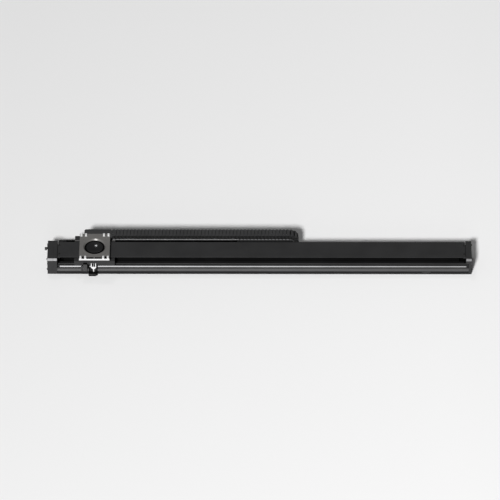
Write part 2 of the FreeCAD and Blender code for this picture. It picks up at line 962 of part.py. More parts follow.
def link_tongue(direction):
    """Inner plate about the link's second pin: it lies against the outer plates of both links."""
    outer = direction * (chain_width / 2 - link_plate)
    inner = outer - direction * link_plate
    return box(
        link_pitch / 2 - link_root, link_pitch + link_tongue_nose,
        min(inner, outer), max(inner, outer),
        -link_tongue_height / 2, link_tongue_height / 2,
    )


def link_lids():
    """Lids between the outer plates: the one outside on the bend is nearly as long as the link."""
    half = chain_width / 2 - link_plate
    top = link_height / 2
    return [
        box(0, link_pitch - link_lid_gap, -half, half, top - link_lid, top),
        box(0, link_pitch / 2, -half, half, -top, -top + link_lid),
    ]


def chain_link():
    """One link: outer plates and tongues of both sides with two lids, first pin at the origin."""
    pieces = [link_outer(1), link_tongue(1), link_tongue(-1)] + link_lids()
    return link_outer(-1).fuse(pieces).removeSplitter()


def placed_link(link, pin_x, pin_z, turn):
    """A copy of the link with its first pin in place, turned down by an angle in radians."""
    copy = link.copy()
    rotation = FreeCAD.Rotation(FreeCAD.Vector(0, 1, 0), math.degrees(turn))
    place = FreeCAD.Vector(pin_x, (chain_near + chain_far) / 2, pin_z)
    copy.Placement = FreeCAD.Placement(place, rotation)
    return copy


def chain_upper_run(link):
    """Links from the moving end to the top of the bend."""
    return Part.makeCompound([
        placed_link(link, moving_pin_x + index * link_pitch, upper_pin_z, 0)
        for index in range(upper_links)
    ])


def chain_bend(link):
    """Links on the bend: their pins lie on a half circle."""
    middle_z = upper_pin_z - pin_radius
    links = []
    for index in range(bend_links):
        passed = index * bend_turn
        pin_x = bend_x + pin_radius * math.sin(passed)
        pin_z = middle_z + pin_radius * math.cos(passed)
        links.append(placed_link(link, pin_x, pin_z, passed + bend_turn / 2))
    return Part.makeCompound(links)


def chain_lower_run(link):
    """Links from the bottom of the bend back to the fixed end."""
    return Part.makeCompound([
        placed_link(link, bend_x - index * link_pitch, lower_pin_z, math.pi)
        for index in range(lower_links)
    ])


def chain_moving_end():
    """Hollow end piece on the bracket, notched under the plate, with tongues for the first link."""
    x1 = moving_pin_x - link_pitch / 2
    x0 = x1 - moving_end_length
    shell = box(x0, x1, chain_near, chain_far, table_top, chain_top)
    corner_edges = [
        edge for edge in shell.Edges
        if edge.BoundBox.XMax < x0 + link_root and edge.BoundBox.ZMin > chain_top - link_root
    ]
    shell = shell.makeFillet(moving_end_round, corner_edges)
    passage = box(
        x0, x1, chain_near + moving_end_wall + link_plate, chain_far - moving_end_wall - link_plate,
        table_top + moving_end_wall, chain_top - moving_end_wall,
    )
    notch = box(
        x0, carriage_x + plate_length / 2 + plate_clearance,
        chain_near, plate_width / 2 + plate_clearance,
        plate_bottom - plate_clearance, chain_top,
    )
    end = shell.cut([passage, notch])
    for direction in (-1, 1):
        tongue = link_tongue(direction)
        tongue.translate(FreeCAD.Vector(
            moving_pin_x - link_pitch, (chain_near + chain_far) / 2, upper_pin_z,
        ))
        end = end.fuse(tongue)
    return end.removeSplitter()


def chain_fixed_end():
    """Fork for the last tongue on a foot that stands on the tray."""
    fork = placed_link(
        link_outer(-1).fuse([link_outer(1)] + link_lids()).removeSplitter(),
        fixed_pin_x, lower_pin_z, math.pi,
    )
    foot = box(
        fixed_end_x - fixed_foot_length, fixed_end_x, chain_near, chain_far,
        tray_top, tray_top + fixed_foot_thickness,
    )
    return fork.fuse(foot).removeSplitter()


def chain_bracket():
    """Angle plate on the rear flange that carries the moving end of the chain, one rear corner cut away."""
    x0 = carriage_x - table_length / 2
    x1 = carriage_x + table_length / 2
    leg_back = flange_face + bracket_thickness
    shelf_bottom = table_top - bracket_thickness
    outline = [
        (flange_face, flange_bottom),
        (leg_back, flange_bottom),
        (leg_back, shelf_bottom),
        (chain_far + bracket_margin, shelf_bottom),
        (chain_far + bracket_margin, table_top),
        (flange_face + bracket_chamfer, table_top),
        (flange_face, table_top - bracket_chamfer),
    ]
    corner = box(
        x0, x0 + bracket_notch_length, bracket_notch_y, chain_far + bracket_margin, shelf_bottom, table_top,
    )
    return along_x(outline, x0, x1).cut(corner)


def all_nodes():
    """Every separate piece by name."""
    link = chain_link()
    nodes = {
        "base_profile": base_profile(),
        "left_end_plate": end_plate(end_block(left_plate, profile_start), left_plate, profile_start),
        "right_end_plate": end_plate(bridge_block(), profile_end, inner_end),
        "connection_housing": connection_housing(),
        "right_end_cap": end_block(profile_end, right_end).cut(cap_holes(profile_end, right_end)),
        "left_cap_screws": cap_screws(left_end, 1, housing_length),
        "right_cap_screws": cap_screws(right_end, -1, cap_length),
        "connector_body": connector_body(),
        "connector_insert": connector_insert(),
        "top_cover": top_cover(),
        "cover_screws": cover_screws(),
        "front_rail": rail(-1),
        "rear_rail": rail(1),
        "magnet_yoke": magnet_yoke(),
        "front_magnets": magnet_row(-1),
        "rear_magnets": magnet_row(1),
        "encoder_scale": encoder_scale(),
        "left_bumper": bumper(profile_start, 1),
        "right_bumper": bumper(inner_end, -1),
        "limit_switches": limit_switches(),
        "chain_tray": chain_tray(),
        "tray_screws": tray_screws(),
        "tray_nuts": tray_nuts(),
        "chain_fixed_end": chain_fixed_end(),
        "chain_lower_run": chain_lower_run(link),
        "carriage_table": carriage_table(),
        "front_leg": leg(-1),
        "rear_leg": leg(1),
        "leg_screws": leg_screws(),
        "top_plate": top_plate(),
        "locating_keys": locating_keys(),
        "bore_dish": bore_dish(),
        "coil_unit": coil_unit(),
        "read_head": read_head(),
        "head_screws": head_screws(),
        "switch_flag": switch_flag(),
        "flag_screws": flag_screws(),
        "flag_holder": flag_holder(),
        "chain_bracket": chain_bracket(),
        "chain_moving_end": chain_moving_end(),
        "chain_upper_run": chain_upper_run(link),
        "chain_bend": chain_bend(link),
    }
    for end, end_name in ((-1, "left"), (1, "right")):
        for side, side_name in ((-1, "front"), (1, "rear")):
            nodes[f"{side_name}_{end_name}_guide_block"] = guide_block(end, side)
    return nodes


os.makedirs("parts", exist_ok=True)
for name, shape in all_nodes().items():
    shape.exportStep(f"parts/{name}.step")
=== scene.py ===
"""Looks of the linear motor axis: rounded, detailed pieces over the solids, a studio floor and light."""
import json
import math
import bmesh
import bpy
from mathutils import Matrix, Vector


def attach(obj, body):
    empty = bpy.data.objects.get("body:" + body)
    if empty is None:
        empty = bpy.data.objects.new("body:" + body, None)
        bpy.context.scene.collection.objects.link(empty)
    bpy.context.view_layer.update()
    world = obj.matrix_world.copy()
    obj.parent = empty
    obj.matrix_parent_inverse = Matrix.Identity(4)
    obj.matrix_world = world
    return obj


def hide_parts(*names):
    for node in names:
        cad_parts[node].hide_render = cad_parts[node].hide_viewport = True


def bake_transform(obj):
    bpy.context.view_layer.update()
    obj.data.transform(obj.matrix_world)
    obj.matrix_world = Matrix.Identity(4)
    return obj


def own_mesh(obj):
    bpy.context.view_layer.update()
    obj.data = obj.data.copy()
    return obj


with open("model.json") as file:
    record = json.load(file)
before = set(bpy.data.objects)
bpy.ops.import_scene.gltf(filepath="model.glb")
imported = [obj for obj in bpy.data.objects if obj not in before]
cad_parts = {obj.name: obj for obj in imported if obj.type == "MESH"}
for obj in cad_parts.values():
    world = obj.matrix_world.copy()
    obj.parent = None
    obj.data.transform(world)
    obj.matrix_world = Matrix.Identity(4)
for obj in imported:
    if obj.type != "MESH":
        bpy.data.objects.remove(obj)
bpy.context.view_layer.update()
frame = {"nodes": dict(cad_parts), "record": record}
MM = 0.001
BODY_OF = {n: b for b, members in frame["record"]["behaviour"]["bodies"].items() for n in members}
SLOT_OF = {part["node"]: part["material_slot"] for part in frame["record"]["subparts"]}

# Camera: the photograph's view, as a long lens from the front and above, in metres and degrees
TARGET = Vector((-0.0373, 0.0361, 0.0411))
VIEW_DISTANCE = 17.5
VIEW_ELEVATION = 42.7
VIEW_WIDTH = 1.956
VIEW_ROLL = 0.06
VIEW_CLIP = 100.0

# Light: a far soft key from the front and left, a low card in front, a small light above and behind,
# and weak light all round, in metres, degrees and watts
LAMPS = {
    "key": dict(azimuth=-14.0, elevation=36.6, distance=30.0, width=4.2, power=11700.0),
    "card": dict(azimuth=0.0, elevation=17.0, distance=30.0, width=10.0, power=650.0),
    "top": dict(azimuth=-157.8, elevation=62.9, distance=20.0, width=3.1, power=260.0),
}
WORLD_LEVEL = 0.115

# Floor: its tone runs from left to right over a span of X, in metres; the darker left is painted shade
FLOOR_SIZE = 8.0
FLOOR_SPAN = (-1.0, 0.7)
FLOOR_LEFT = 0.82
FLOOR_RIGHT = 0.9
FLOOR_ROUGHNESS = 0.9
FLOOR_SPECULAR = 0.1

# Meshes: distances in metres and angles in degrees
WELD = 1e-6
CUT = 1e-7
FLAT_ANGLE = 0.5
SMOOTH_ANGLE = 32.0
BEVEL_SEGMENTS = 2
NORMAL_WEIGHT = 100

# How far a face's normal points along an axis to count as flat, slanted or leaning
FLAT = 0.9
SLANT = 0.5
LEAN = 0.3

# All lengths from here on are in millimetres, in the part's frame, unless they say otherwise

# Cable chain: the runs
CHAIN_WIDTH = 38.6
CHAIN_MIDDLE_Y = 79.3
UPPER_LINKS = 50
BEND_LINKS = 6
LOWER_LINKS = 14
MOVING_PIN_X = -573.0
BEND_X = 120.0
FIXED_PIN_X = -80.2
UPPER_PIN_Z = 83.75
PIN_RADIUS = 24.92

# Cable chain: one link
LINK_HEIGHT = 18.5
LINK_EDGE = 0.12
PLATE = 2.4
NOSE = 5.0
NOSE_FLAT = 6.0
NOSE_CORNER = 0.8
NOSE_DROP = 1.0
NOSE_SHOULDER = 0.4
LID = 2.0
LID_GAP = 1.5
LID_MARGIN = 5.0
LOWER_LID_START = 0.2
TONGUE_HEIGHT = 16.6
TONGUE_NOSE = 3.0
TONGUE_ROOT = 2.0
PIN_BOSS = 3.3
PIN_PROUD = 0.35
PIN_EDGE = 0.3
PIN_DIMPLE = (1.3, 1.5)
PIN_DIMPLE_DEPTH = 0.7
PIN_STEPS = 16
LEDGE_DEPTH = 1.8
LEDGE_LOW = 0.6
LEDGE_HIGH = 2.2
LEDGE_SINK = 0.3
LEDGE_START = -0.6
LEDGE_SHARE = 0.62
LEDGE_AREA = 1.2e-5  # square metres, above that of any other slanted face

# Blocks added to solids, as (x0, x1, y0, y1, z0, z1)
LAND = (-789.0, 816.0, -41.0, -38.0, 37.2, 40.6)
TRAY_END = (-787.0, -758.0, 62.0, 101.0, 24.0, 36.0)
TRAY_END_EDGE = 2.5
FORK_LID = (-581.5, -573.6, 63.0, 95.6, 88.0, 91.2)

# Cover: its long edges, and the levels that tell the solid's foot, side and top apart
COVER_REAR = 44.0
COVER_FRONT = 42.3
COVER_FOOT = 40.0
COVER_CHAMFER = 0.3
COVER_TOP = 76.0
COVER_FOOT_BELOW = 71.1
COVER_TOP_ABOVE = 75.9
COVER_SIDE_BEYOND = 43.5
COVER_EDGE_BEYOND = 42.0

# Scale: the lower and upper edge of its tape
TAPE_LOW = 32.0
TAPE_HIGH = 35.4

# Dish in the plate's bore: its bowl, and a ring given as steps from the bowl's edge and back from the rim,
# each with its depth below the rim
CARRIAGE_X = -643.0
PLATE_TOP = 93.0
BORE_CHAMFER = 4.75
DISH_RADIUS = 39.3
DISH_BOTTOM = 80.6
DISH_STEPS = 96
BOWL_RADIUS = 32.2
BOWL_CURVE = 75.0
BOWL_START = 0.4
BOWL_STEPS = 24
BOWL_MARGIN = 0.2
BOWL_LIP = ((0.5, 0.1), (1.0, 2.0))
DISH_LIP = ((1.2, 2.0), (0.6, 0.4), (0.0, 0.8))

# Flag: how far it is moved along X and drawn in, and the reach of its screw holes
FLAG_SHIFT = 2.0
FLAG_THIN = 0.6
FLAG_HOLE = 1.7

# Flag's guard: blocks as (x0, x1, y0, y1, z0, z1), and the outline and levels of its foot
GUARD_BLOCKS = (
    (-665.0, -651.5, -58.95, -58.35, 10.0, 34.5),
    (-651.5, -634.5, -58.95, -58.35, 10.0, 24.0),
    (-671.2, -664.5, -61.5, -59.05, 31.0, 51.0),
    (-665.8, -662.0, -61.5, -59.05, 12.0, 33.0),
    (-635.6, -632.4, -61.5, -59.05, 13.0, 52.0),
    # Thin sheets behind the flag's gaps, painted as shade
    (-653.0, -648.1, -59.5, -59.02, 30.0, 55.0),
    (-645.9, -641.0, -59.5, -59.02, 30.0, 55.0),
)
GUARD_FOOT = (
    (-665.45, -76.49), (-640.0, -76.49), (-635.2, -74.6), (-632.4, -71.0), (-631.55, -66.5),
    (-631.55, -59.1), (-666.45, -59.1), (-666.45, -75.5),
)
GUARD_FOOT_LEVELS = (5.0, 15.0)
GUARD_EDGE = 0.6

# Screws: axis towards the head, head radius, head height and shank radius
SCREWS = {
    "left_cap_screws": ((-1, 0, 0), 4.3, 3.0, 2.3),
    "right_cap_screws": ((1, 0, 0), 4.3, 3.0, 2.3),
    "cover_screws": ((0, 0, 1), 3.3, 2.0, 1.8),
    "leg_screws": ((0, 0, -1), 4.3, 3.0, 2.3),
    "flag_screws": ((0, -1, 0), 1.9, 2.0, 1.1),
    "head_screws": ((0, -1, 0), 1.9, 2.0, 1.1),
    "tray_screws": ((0, 1, 0), 4.3, 3.0, 2.3),
}
SCREW_STEPS = 24
# Shares of the head's radius, and of its height for the depth of the socket
SOCKET = 0.48
SOCKET_DEPTH = 0.55
HEAD_FACE = 0.88
HEAD_ROUND = ((0.96, 0.04), (1.0, 0.13))

# Where a piece's finish changes
HEAD_LID_ABOVE = 55.0
TRAY_LIP_Y = 98.0
TRAY_LIP_X = -700.0
LAND_MIDDLE_Y = -39.5
LAND_REACH = 1.6
LAND_ABOVE = 37.6
FRONT_Y = -50.0
FRONT_ABOVE = 13.0
INSIDE_Y = 37.9
INSIDE_ABOVE = 1.0
POCKET_Y = (-71.2, -56.0)
POCKET_Z = (86.5, 92.5)
PLATE_SIDE_X = 58.9
PLATE_SIDE_Y = 71.9
BORE_BAND = (39.0, 45.0)
CONNECTOR_TOP = 0.45  # of a normal along Z


def direction(azimuth, elevation):
    """Unit vector towards an azimuth (0 in front, positive to the right) and an elevation, in degrees."""
    a, e = math.radians(azimuth), math.radians(elevation)
    return Vector((math.sin(a) * math.cos(e), -math.cos(a) * math.cos(e), math.sin(e)))


def aim(obj, place, target, roll=0.0):
    """Puts an object in place and points its -Z axis at the target."""
    turn = (target - place).to_track_quat("-Z", "Y").to_matrix().to_4x4()
    obj.matrix_world = Matrix.Translation(place) @ turn @ Matrix.Rotation(math.radians(roll), 4, "Z")


def add(obj):
    """Links an object into the scene."""
    bpy.context.scene.collection.objects.link(obj)
    return obj


class Nodes:
    """Shorthand for building one material."""

    def __init__(self, name):
        self.material = bpy.data.materials.new(name)
        self.material.use_nodes = True
        self.tree = self.material.node_tree
        self.shader = self.tree.nodes["Principled BSDF"]

    def new(self, kind, **inputs):
        """A new node with values in its inputs."""
        node = self.tree.nodes.new(kind)
        for key, value in inputs.items():
            node.inputs[key.replace("_", " ")].default_value = value
        return node

    def link(self, source, target):
        """Joins an output to an input."""
        self.tree.links.new(source, target)

    def place(self, scale):
        """Coordinates in metres of the part's frame, stretched by a scale."""
        coordinates = self.new("ShaderNodeTexCoord")
        mapping = self.new("ShaderNodeMapping", Scale=scale)
        self.link(coordinates.outputs["Object"], mapping.inputs["Vector"])
        return mapping.outputs["Vector"]

    def noise(self, scale, detail, stretch=(1.0, 1.0, 1.0)):
        """Noise over the part, stretched by a scale for each axis."""
        texture = self.new("ShaderNodeTexNoise", Scale=scale, Detail=detail)
        self.link(self.place(stretch), texture.inputs["Vector"])
        return texture.outputs["Fac"]

    def ramp(self, value, low, high, start=0.3, end=0.7):
        """Colour between two colours by a value that runs from start to end."""
        ramp = self.new("ShaderNodeValToRGB")
        ramp.color_ramp.elements[0].position = start
        ramp.color_ramp.elements[1].position = end
        ramp.color_ramp.elements[0].color = (*low, 1.0)
        ramp.color_ramp.elements[1].color = (*high, 1.0)
        self.link(value, ramp.inputs["Fac"])
        return ramp.outputs["Color"]

    def span(self, value, low, high, start=0.3, end=0.7):
        """Number between two numbers by a value that runs from start to end."""
        node = self.new("ShaderNodeMapRange", From_Min=start, From_Max=end, To_Min=low, To_Max=high)
        self.link(value, node.inputs["Value"])
        return node.outputs["Result"]

    def bump(self, height, strength, distance):
        """Relief of the surface by a height."""
        node = self.new("ShaderNodeBump", Strength=strength, Distance=distance)
        self.link(height, node.inputs["Height"])
        self.link(node.outputs["Normal"], self.shader.inputs["Normal"])

    def set(self, **inputs):
        """Sets values on the shader."""
        for key, value in inputs.items():
            self.shader.inputs[key.replace("_", " ")].default_value = value

    def drive(self, **outputs):
        """Joins outputs to the shader."""
        for key, value in outputs.items():
            self.link(value, self.shader.inputs[key.replace("_", " ")])


FINE_DETAIL = 3.0
BROAD_SCALE = 14.0
BROAD_DETAIL = 2.0
GRAIN_DEPTH = 0.00006  # metres


def finish_material(name, colours, rough, metallic=0.0, grain=900.0, stretch=(1.0, 1.0, 1.0),
                    bump=0.15, specular=0.5):
    """A surface with fine grain: roughness and height vary together, and colour more broadly."""
    n = Nodes(name)
    fine = n.noise(grain, FINE_DETAIL, stretch)
    broad = n.noise(BROAD_SCALE, BROAD_DETAIL)
    n.drive(Base_Color=n.ramp(broad, *colours), Roughness=n.span(fine, *rough))
    n.set(Metallic=metallic, Specular_IOR_Level=specular)
    n.bump(fine, bump, GRAIN_DEPTH)
    return n.material


COOL = (1.0, 1.0, 1.02)
WARM = (1.03, 1.0, 0.96)
PLAIN = (1.0, 1.0, 1.0)
ALONG = (0.02, 1.0, 1.0)
ACROSS = (1.0, 0.05, 1.0)


def grey(low, high, tint=COOL):
    """Two levels of one tinted grey."""
    return tuple(low * t for t in tint), tuple(high * t for t in tint)


# Finishes of the record's slots, then those of single faces
FINISHES = {
    "black_anodised": dict(colours=grey(0.0235, 0.028), rough=(0.46, 0.54), grain=1500.0, stretch=ALONG,
                           specular=0.16),
    "black_sheet": dict(colours=grey(0.022, 0.03), rough=(0.5, 0.6), grain=1800.0, bump=0.3, specular=0.2),
    "grey_anodised": dict(colours=grey(0.112, 0.128, WARM), rough=(0.5, 0.58), grain=2200.0, specular=0.2),
    "head_anodised": dict(colours=grey(0.026, 0.034), rough=(0.36, 0.44), grain=2200.0),
    "bright_steel": dict(colours=grey(0.68, 0.76, PLAIN), rough=(0.3, 0.42), metallic=0.1, grain=2500.0,
                         stretch=ACROSS),
    "screw_steel": dict(colours=grey(0.02, 0.03), rough=(0.3, 0.42), metallic=0.6, grain=3000.0),
    "guide_steel": dict(colours=grey(0.009, 0.013), rough=(0.3, 0.42), grain=1600.0, stretch=ALONG,
                        specular=0.35),
    "yoke_steel": dict(colours=grey(0.0025, 0.004), rough=(0.5, 0.62), grain=700.0, specular=0.1),
    "magnet_epoxy": dict(colours=grey(0.002, 0.003), rough=(0.3, 0.4), specular=0.1),
    "scale_tape": dict(colours=grey(0.113, 0.138), rough=(0.34, 0.42), metallic=0.5, grain=1200.0,
                       stretch=ALONG),
    "rubber": dict(colours=grey(0.01, 0.016), rough=(0.6, 0.75), grain=1500.0),
    "black_plastic": dict(colours=grey(0.007, 0.011), rough=(0.42, 0.55), grain=2600.0, bump=0.3),
    "chain_plastic": dict(colours=grey(0.032, 0.039), rough=(0.5, 0.6), grain=2600.0, bump=0.3,
                          specular=0.2),
    "gloss_black": dict(colours=grey(0.066, 0.078), rough=(0.12, 0.15), metallic=0.9, grain=400.0,
                        bump=0.02),
    "coil_resin": dict(colours=grey(0.012, 0.02), rough=(0.3, 0.4), grain=600.0),
    # Painted highlight: a lighter, metallic copy of the chain's plastic on the links' ledges
    "chain_ledge_highlight": dict(colours=grey(0.072, 0.085), rough=(0.34, 0.42), metallic=0.5, grain=2600.0),
    # Painted shade: a darker copy of the chain's plastic for the links' sides
    "chain_side_shade": dict(colours=grey(0.006, 0.009), rough=(0.5, 0.6), grain=2600.0, bump=0.3, specular=0.3),
    # Painted light: a darker, glossier copy of the black finish, only on the body's front faces, set for
    # how light falls there
    "front_black_lit_copy": dict(colours=grey(0.016, 0.02), rough=(0.31, 0.37), grain=1500.0, stretch=ALONG),
    # Painted highlight: a lighter, metallic copy of the black finish for the end blocks' slanted edges
    "end_edge_highlight": dict(colours=grey(0.078, 0.092), rough=(0.36, 0.44), metallic=0.5, grain=1200.0),
    # Painted shade: a dull near-black put on recesses, backs and gaps where shade falls
    "painted_shade_black": dict(colours=grey(0.0012, 0.0018), rough=(0.7, 0.8), grain=1800.0, specular=0.06),
    "bore_edge": dict(colours=grey(0.15, 0.17, WARM), rough=(0.28, 0.33), metallic=0.35, grain=2200.0),
    "bare_edge": dict(colours=grey(0.6, 0.66, PLAIN), rough=(0.3, 0.42), metallic=0.1, grain=2500.0,
                      stretch=ALONG),
}
MATERIALS = {name: finish_material(name, **values) for name, values in FINISHES.items()}


def piece_from(name, mesh, node, finishes):
    """Makes an object of a mesh that stands for a node, with the given finishes, and hides the node."""
    piece = add(bpy.data.objects.new(name, mesh))
    mesh.materials.clear()
    for finish in finishes:
        mesh.materials.append(MATERIALS[finish])
    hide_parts(node)
    return piece


def paint(mesh, choose):
    """Gives each face the finish that a function chooses by its number."""
    for face in mesh.polygons:
        face.material_index = choose(face)


def to_mesh(work, name):
    """Turns a bmesh into a mesh with outward faces and frees it."""
    bmesh.ops.recalc_face_normals(work, faces=work.faces)
    mesh = bpy.data.meshes.new(name)
    work.to_mesh(mesh)
    work.free()
    return mesh


def smooth_by_angle(mesh):
    """Smooth shading with sharp edges where faces meet steeply."""
    mesh.shade_smooth()
    mesh.set_sharp_from_angle(angle=math.radians(SMOOTH_ANGLE))


def rounded(piece, bevel, limit):
    """Rounds a piece's edges sharper than a limit and keeps its flat faces flat in the shading."""
    modifier = piece.modifiers.new("edges", "BEVEL")
    modifier.width = bevel * MM
    modifier.segments = BEVEL_SEGMENTS
    modifier.limit_method = "ANGLE"
    modifier.angle_limit = math.radians(limit)
    normals = piece.modifiers.new("normals", "WEIGHTED_NORMAL")
    normals.mode = "FACE_AREA"
    normals.weight = NORMAL_WEIGHT
    piece.data.shade_smooth()


def dress(node, bevel, limit=30.0, finishes=None, choose=None, shape=None):
    """A copy of a node's shape with rounded edges, reshaped and painted by functions."""
    mesh = frame["nodes"][node].data.copy()
    work = bmesh.new()
    work.from_mesh(mesh)
    bmesh.ops.remove_doubles(work, verts=work.verts, dist=WELD)
    bmesh.ops.dissolve_limit(work, angle_limit=math.radians(FLAT_ANGLE), verts=work.verts, edges=work.edges)
    if shape:
        shape(work)
    work.to_mesh(mesh)
    work.free()
    piece = piece_from("dressed_" + node, mesh, node, finishes or [SLOT_OF[node]])
    if choose:
        paint(mesh, choose)
    rounded(piece, bevel, limit)
    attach(piece, BODY_OF[node])


def islands(node):
    """Vertex places of a node's mesh, one list for each separate solid."""
    work = bmesh.new()
    work.from_mesh(frame["nodes"][node].data)
    bmesh.ops.remove_doubles(work, verts=work.verts, dist=WELD)
    seen, groups = set(), []
    for start in work.verts:
        if start in seen:
            continue
        seen.add(start)
        stack, group = [start], []
        while stack:
            vertex = stack.pop()
            group.append(vertex.co.copy())
            for edge in vertex.link_edges:
                other = edge.other_vert(vertex)
                if other not in seen:
                    seen.add(other)
                    stack.append(other)
        groups.append(group)
    work.free()
    return groups


def rings(work, sections):
    """Joins rings of points with the same count into a closed skin."""
    loops = [[work.verts.new(point) for point in section] for section in sections]
    count = len(loops[0])
    for first, second in zip(loops, loops[1:]):
        for index in range(count):
            following = (index + 1) % count
            work.faces.new((first[index], first[following], second[following], second[index]))
    work.faces.new(loops[0])
    work.faces.new(loops[-1])


def circle(radius, z, count):
    """Points of a circle round the Z axis."""
    return [
        Vector((radius * math.cos(2 * math.pi * i / count), radius * math.sin(2 * math.pi * i / count), z))
        for i in range(count)
    ]


def hexagon(apothem, z, count):
    """A hexagon drawn with the same count of points as a circle."""
    points = []
    for index in range(count):
        angle = 2 * math.pi * index / count
        off = (angle + math.pi / 6) % (math.pi / 3) - math.pi / 6
        radius = apothem / math.cos(off)
        points.append(Vector((radius * math.cos(angle), radius * math.sin(angle), z)))
    return points


def socket_screw(work, head_end, axis, head, height, shank, length):
    """Socket head screw: a rounded head with a hexagonal recess, its outer face at head_end."""
    sections = [
        hexagon(SOCKET * head, -SOCKET_DEPTH * height, SCREW_STEPS),
        hexagon(SOCKET * head, 0.0, SCREW_STEPS),
        circle(HEAD_FACE * head, 0.0, SCREW_STEPS),
        *[circle(radius * head, -drop * head, SCREW_STEPS) for radius, drop in HEAD_ROUND],
        circle(head, -height, SCREW_STEPS),
        circle(shank, -height, SCREW_STEPS),
        circle(shank, -length, SCREW_STEPS),
    ]
    turn = Vector((0, 0, 1)).rotation_difference(axis).to_matrix().to_4x4()
    move = Matrix.Translation(head_end) @ turn @ Matrix.Scale(MM, 4)
    rings(work, [[move @ point for point in section] for section in sections])


def screws(node):
    """Detailed screws in the places of a node's plain ones."""
    axis, head, height, shank = SCREWS[node]
    axis = Vector(axis)
    work = bmesh.new()
    for group in islands(node):
        low = Vector([min(point[k] for point in group) for k in range(3)])
        high = Vector([max(point[k] for point in group) for k in range(3)])
        middle = (low + high) / 2
        half = abs((high - low).dot(axis)) / 2
        socket_screw(work, middle + axis * half, axis, head, height, shank, 2 * half / MM)
    mesh = to_mesh(work, "detailed_" + node)
    piece = piece_from("detailed_" + node, mesh, node, [SLOT_OF[node]])
    smooth_by_angle(mesh)
    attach(piece, BODY_OF[node])


def slab(work, outline, push, edge=0.0):
    """A prism of an outline pushed along a vector, its edges broken."""
    first = [work.verts.new(Vector(point)) for point in outline]
    second = [work.verts.new(Vector(point) + Vector(push)) for point in outline]
    faces = [work.faces.new(first), work.faces.new(second)]
    count = len(outline)
    for index in range(count):
        following = (index + 1) % count
        faces.append(work.faces.new((first[index], first[following], second[following], second[index])))
    edges = list({e for face in faces for e in face.edges})
    bmesh.ops.recalc_face_normals(work, faces=faces)
    if edge:
        bmesh.ops.bevel(work, geom=edges, offset=edge, segments=1, affect="EDGES", profile=0.5)


def block(work, x0, x1, y0, y1, z0, z1, edge=0.0):
    """A box between two corners, its edges broken."""
    slab(work, [(x0, y0, z0), (x1, y0, z0), (x1, y1, z0), (x0, y1, z0)], (0, 0, z1 - z0), edge)


def pin_boss(work, y, side):
    """Round boss with a dimple on the outer face of a link's plate, at its first pin."""
    profile = (
        (PIN_DIMPLE[0], PIN_PROUD - PIN_DIMPLE_DEPTH), (PIN_DIMPLE[1], PIN_PROUD),
        (PIN_BOSS - PIN_EDGE, PIN_PROUD), (PIN_BOSS, PIN_PROUD - PIN_EDGE), (PIN_BOSS, -PIN_EDGE),
    )
    rings(work, [
        [Vector((p.x, y + side * height, p.y)) for p in circle(radius, 0.0, PIN_STEPS)]
        for radius, height in profile
    ])


def link_mesh(pitch):
    """One chain link in millimetres, its first pin at the origin and its second one at the pitch."""
    work = bmesh.new()
    half, top = CHAIN_WIDTH / 2, LINK_HEIGHT / 2
    reach = half - PLATE
    nose = [
        (-NOSE, -NOSE_FLAT / 2), (-NOSE_CORNER, -top + NOSE_DROP), (NOSE_SHOULDER, -top), (pitch / 2, -top),
        (pitch / 2, top), (NOSE_SHOULDER, top), (-NOSE_CORNER, top - NOSE_DROP), (-NOSE, NOSE_FLAT / 2),
    ]
    low, high = -top + LEDGE_LOW, -top + LEDGE_HIGH
    for side in (-1, 1):
        inner, outer = side * reach, side * half
        slab(work, [(x, inner, z) for x, z in nose], (0, side * PLATE, 0))
        tongue = inner - side * PLATE
        block(work, pitch / 2 - TONGUE_ROOT, pitch + TONGUE_NOSE, min(inner, tongue), max(inner, tongue),
              -TONGUE_HEIGHT / 2, TONGUE_HEIGHT / 2, LINK_EDGE)
        pin_boss(work, outer, side)
        sunk = outer - side * LEDGE_SINK
        ledge = [(sunk, low), (outer + side * LEDGE_DEPTH, low), (outer, high), (sunk, high)]
        slab(work, [(LEDGE_START, y, z) for y, z in ledge], (LEDGE_SHARE * pitch, 0, 0))
    block(work, 0.0, pitch - LID_GAP, -reach, reach, top - LID, top, LINK_EDGE)
    block(work, pitch - LID_GAP, pitch, -reach, LID_MARGIN - reach, top - LID, top)
    block(work, LOWER_LID_START, pitch, -reach, reach, -top, -top + LID)
    return to_mesh(work, "link")


def link_finish(face):
    """Plain lids, sides painted darker as shade, ledges painted lighter as a highlight."""
    across = abs(face.normal.y)
    # Painted shade: sides take the darker copy of the plastic
    if across > FLAT:
        return 1
    # Painted highlight: large slanted ledge faces take the lighter ledge finish
    return 2 if across > SLANT and face.area > LEDGE_AREA else 0


def links(name, node, pitch, places):
    """A run's links as one piece, each link given by its pin's X and Z and its turn."""
    work = bmesh.new()
    link = link_mesh(pitch)
    for x, z, turn in places:
        before = len(work.verts)
        work.from_mesh(link)
        work.verts.ensure_lookup_table()
        move = (Matrix.Translation(Vector((x, CHAIN_MIDDLE_Y, z)) * MM)
                @ Matrix.Rotation(turn, 4, "Y") @ Matrix.Scale(MM, 4))
        bmesh.ops.transform(work, matrix=move, verts=work.verts[before:])
    bpy.data.meshes.remove(link)
    mesh = to_mesh(work, name)
    smooth_by_angle(mesh)
    piece = piece_from(name, mesh, node, ["chain_plastic", "chain_side_shade", "chain_ledge_highlight"])
    paint(mesh, link_finish)
    return piece


